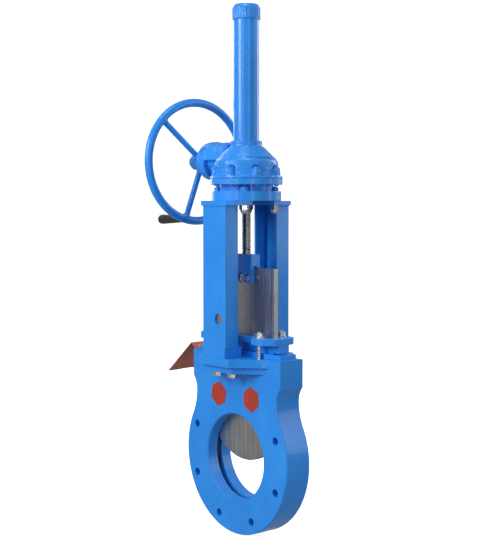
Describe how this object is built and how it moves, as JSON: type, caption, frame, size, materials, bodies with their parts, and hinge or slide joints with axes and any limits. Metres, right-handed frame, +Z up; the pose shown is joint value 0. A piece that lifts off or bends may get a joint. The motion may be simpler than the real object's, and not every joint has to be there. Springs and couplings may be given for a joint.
{
  "type": "knife gate valve",
  "caption": "Rising-stem knife gate valve with bevel gear operator, dished handwheel with crank grip and stem protector tube; the gate slides down into a wafer body to stop the flow",
  "frame": {"origin": "centre of the bore, half way through the body's thickness", "axes": "+Z up the stem; +Y along the bore, away from the face with the stickers; the handwheel is on the -X side"},
  "size_m": [0.458, 0.2938, 1.1795],
  "materials": {
    "blue_paint": "semi-gloss enamel over cast iron and steel",
    "stainless": "vertically brushed stainless steel",
    "zinc_steel": "bright zinc-plated steel",
    "stem_steel": "greased machined steel",
    "gear_steel": "machined, oiled steel",
    "bronze": "machined bronze",
    "seal_rubber": "matt black rubber",
    "packing_braid": "braided packing",
    "red_sticker": "satin vinyl",
    "tag_card": "red-brown coated card",
    "black_grip": "moulded black plastic"
  },
  "bodies": {
    "valve": {"valve_body": "blue_paint", "u_seal": "seal_rubber", "packing_rings": "packing_braid", "gland_follower": "blue_paint", "gland_studs": "zinc_steel", "gland_nuts": "zinc_steel", "front_column": "blue_paint", "rear_column": "blue_paint", "column_bolts": "zinc_steel", "gearbox_base": "blue_paint", "ring_studs": "blue_paint", "ring_nuts": "blue_paint", "dome_nuts": "zinc_steel", "gearbox_bell": "blue_paint", "case_bolts": "blue_paint", "lower_bearing": "gear_steel", "upper_bearing": "gear_steel", "protector_tube": "blue_paint", "tube_cap": "blue_paint", "grease_nipple": "blue_paint", "input_bearings": "gear_steel", "input_cover": "blue_paint", "cover_screws": "blue_paint", "hex_stickers": "red_sticker", "tag_card": "tag_card", "tag_wire": "zinc_steel"},
    "drive_nut": {"stem_nut": "bronze", "crown_wheel": "gear_steel", "crown_key": "gear_steel"},
    "handwheel": {"pinion_shaft": "gear_steel", "handwheel_rim": "blue_paint", "handwheel_hub": "blue_paint", "handwheel_spokes": "blue_paint", "hub_key": "gear_steel", "hub_nut": "zinc_steel", "crank_spindle": "zinc_steel"},
    "grip": {"crank_grip": "black_grip"},
    "gate_train": {"gate": "stainless", "stem": "stem_steel", "stem_fork": "blue_paint", "fork_bolts": "zinc_steel", "fork_washers": "zinc_steel", "fork_nuts": "zinc_steel"}
  },
  "joints": [
    {"name": "handwheel_turn", "type": "hinge", "parent": "valve", "child": "handwheel", "pos_m": [-0.1805, 0, 0.6625], "axis": [1, 0, 0], "range_deg": [-23758, 20194]},
    {"name": "drive_nut_turn", "type": "hinge", "parent": "valve", "child": "drive_nut", "pos_m": [0, 0, 0.64], "axis": [0, 0, 1], "range_deg": [-6732, 7920]},
    {"name": "gate_lift", "type": "slide", "parent": "valve", "child": "gate_train", "axis": [0, 0, 1], "range_m": [-0.0935, 0.11]},
    {"name": "grip_spin", "type": "hinge", "parent": "handwheel", "child": "grip", "pos_m": [-0.2, -0.02855, 0.5282], "axis": [1, 0, 0], "continuous": true}
  ],
  "couplings": [
    {"joint": "drive_nut_turn", "follows": "handwheel_turn", "ratio": -0.33333},
    {"joint": "gate_lift", "follows": "handwheel_turn", "m_per_rad": -0.00026526}
  ]
}
